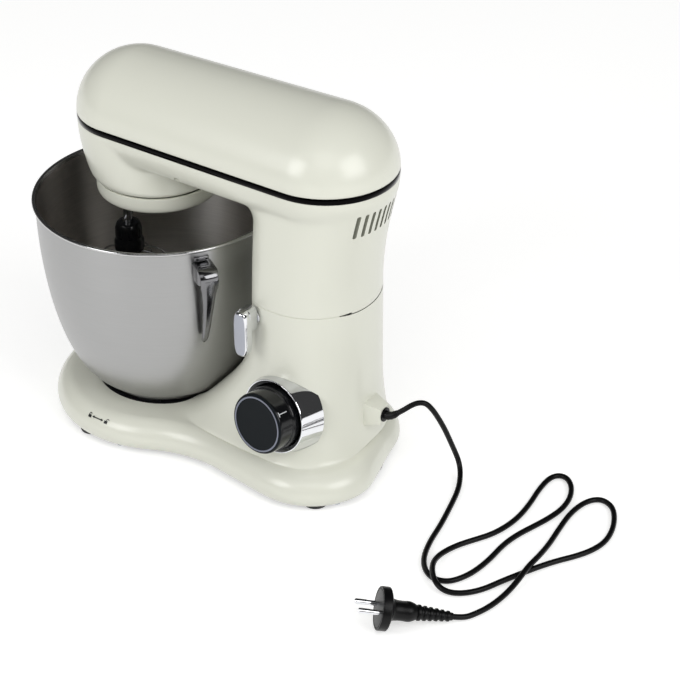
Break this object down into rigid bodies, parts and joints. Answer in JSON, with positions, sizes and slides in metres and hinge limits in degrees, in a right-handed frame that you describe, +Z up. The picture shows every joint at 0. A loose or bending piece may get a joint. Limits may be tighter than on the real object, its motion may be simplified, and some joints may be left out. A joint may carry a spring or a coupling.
{
  "type": "stand mixer",
  "caption": "Tilt-head planetary stand mixer with steel turn-and-lock bowl, balloon whisk, speed knob, release lever and mains lead with plug.",
  "frame": {"origin": "on the worktop, under the middle of the mixer's own box", "axes": "+Z up, the bowl end towards -Y, the column and hinge towards +Y, the speed knob and release lever on +X"},
  "size_m": [0.3207, 0.5756, 0.3518],
  "materials": {
    "housing_cream": "smooth satin-gloss painted moulding",
    "black_plastic": "fine satin",
    "black_rubber": "matt",
    "bowl_steel": "brushed round the axis, bright rim",
    "bright_chrome": "polished",
    "machined_steel": "turned",
    "zinc_steel": "zinc plated sheet",
    "lamination_steel": "stacked laminations",
    "sinter_bronze": "sintered",
    "copper": "enamelled copper wire",
    "board_green": "coated board",
    "belt_rubber": "ribbed"
  },
  "bodies": {
    "base": {"base_housing": "housing_cream", "bottom_cover": "black_plastic", "rubber_feet": "black_rubber", "base_screws": "zinc_steel", "bowl_seat": "black_plastic", "hinge_bracket": "zinc_steel", "hinge_pin": "machined_steel", "knob_bezel": "bright_chrome", "speed_switch": "black_plastic", "control_board": "board_green", "latch_bush": "bright_chrome", "latch_spring": "machined_steel", "cord_gland": "black_rubber", "power_cord": "black_rubber", "plug_body": "black_rubber", "plug_pins": "bright_chrome"},
    "head": {"head_shell": "housing_cream", "top_cover": "housing_cream", "trim_strip": "bright_chrome", "head_screws": "zinc_steel", "head_hinge": "zinc_steel", "latch_strike": "zinc_steel", "chassis_plate": "zinc_steel", "gear_bridge": "zinc_steel", "ring_gear": "machined_steel", "main_bush": "sinter_bronze", "motor_stator": "lamination_steel", "field_coils": "copper", "motor_bracket": "zinc_steel", "motor_bolts": "machined_steel", "brush_holders": "sinter_bronze", "drive_belt": "belt_rubber"},
    "rotor": {"motor_shaft": "machined_steel", "armature": "lamination_steel", "commutator": "copper", "cooling_fan": "black_plastic", "motor_pulley": "machined_steel"},
    "countershaft": {"layshaft": "machined_steel", "lay_pinion": "machined_steel", "belt_pulley": "black_plastic"},
    "carrier": {"main_shaft": "machined_steel", "main_gear": "machined_steel", "planet_carrier": "machined_steel", "carrier_cap": "housing_cream", "spindle_bush": "sinter_bronze"},
    "beater": {"beater_shaft": "machined_steel", "planet_pinion": "machined_steel", "cross_pin": "machined_steel", "whisk_hub": "black_plastic", "whisk_wires": "machined_steel"},
    "knob": {"speed_knob": "black_plastic", "knob_ring": "bright_chrome", "knob_spindle": "machined_steel"},
    "lever": {"release_lever": "bright_chrome", "latch_shaft": "zinc_steel"},
    "bowl": {"bowl": "bowl_steel", "bowl_foot": "bowl_steel", "bowl_handle": "bright_chrome"}
  },
  "joints": [
    {"name": "head_tilt", "type": "hinge", "parent": "base", "child": "head", "pos_m": [0, 0.146, 0.177], "axis": [-1, 0, 0], "range_deg": [0, 35]},
    {"name": "carrier_spin", "type": "hinge", "parent": "head", "child": "carrier", "pos_m": [0, -0.07, 0.2], "axis": [0, 0, 1], "continuous": true},
    {"name": "beater_spin", "type": "hinge", "parent": "carrier", "child": "beater", "pos_m": [0.0059, -0.10348, 0.2], "axis": [0, 0, 1], "continuous": true},
    {"name": "countershaft_spin", "type": "hinge", "parent": "head", "child": "countershaft", "pos_m": [0, -0.025, 0.3], "axis": [0, 0, 1], "continuous": true},
    {"name": "motor_spin", "type": "hinge", "parent": "head", "child": "rotor", "pos_m": [0, 0.108, 0.25], "axis": [0, 0, 1], "continuous": true},
    {"name": "knob_turn", "type": "hinge", "parent": "base", "child": "knob", "pos_m": [0.064, 0.102, 0.076], "axis": [0.9851, -0.121, 0.1219], "range_deg": [-180, 30]},
    {"name": "lever_press", "type": "hinge", "parent": "base", "child": "lever", "pos_m": [0, 0.075, 0.164], "axis": [1, 0, 0], "range_deg": [0, 20], "stiffness_Nm_per_rad": 0.3, "springref_deg": -11.46},
    {"name": "bowl_twist", "type": "hinge", "parent": "base", "child": "bowl", "pos_m": [0, -0.07, 0.03], "axis": [0, 0, 1], "range_deg": [-26, 0]}
  ],
  "couplings": [
    {"joint": "beater_spin", "follows": "carrier_spin", "ratio": -3.8333},
    {"joint": "countershaft_spin", "follows": "carrier_spin", "ratio": -3.5},
    {"joint": "motor_spin", "follows": "carrier_spin", "ratio": -13.222}
  ]
}
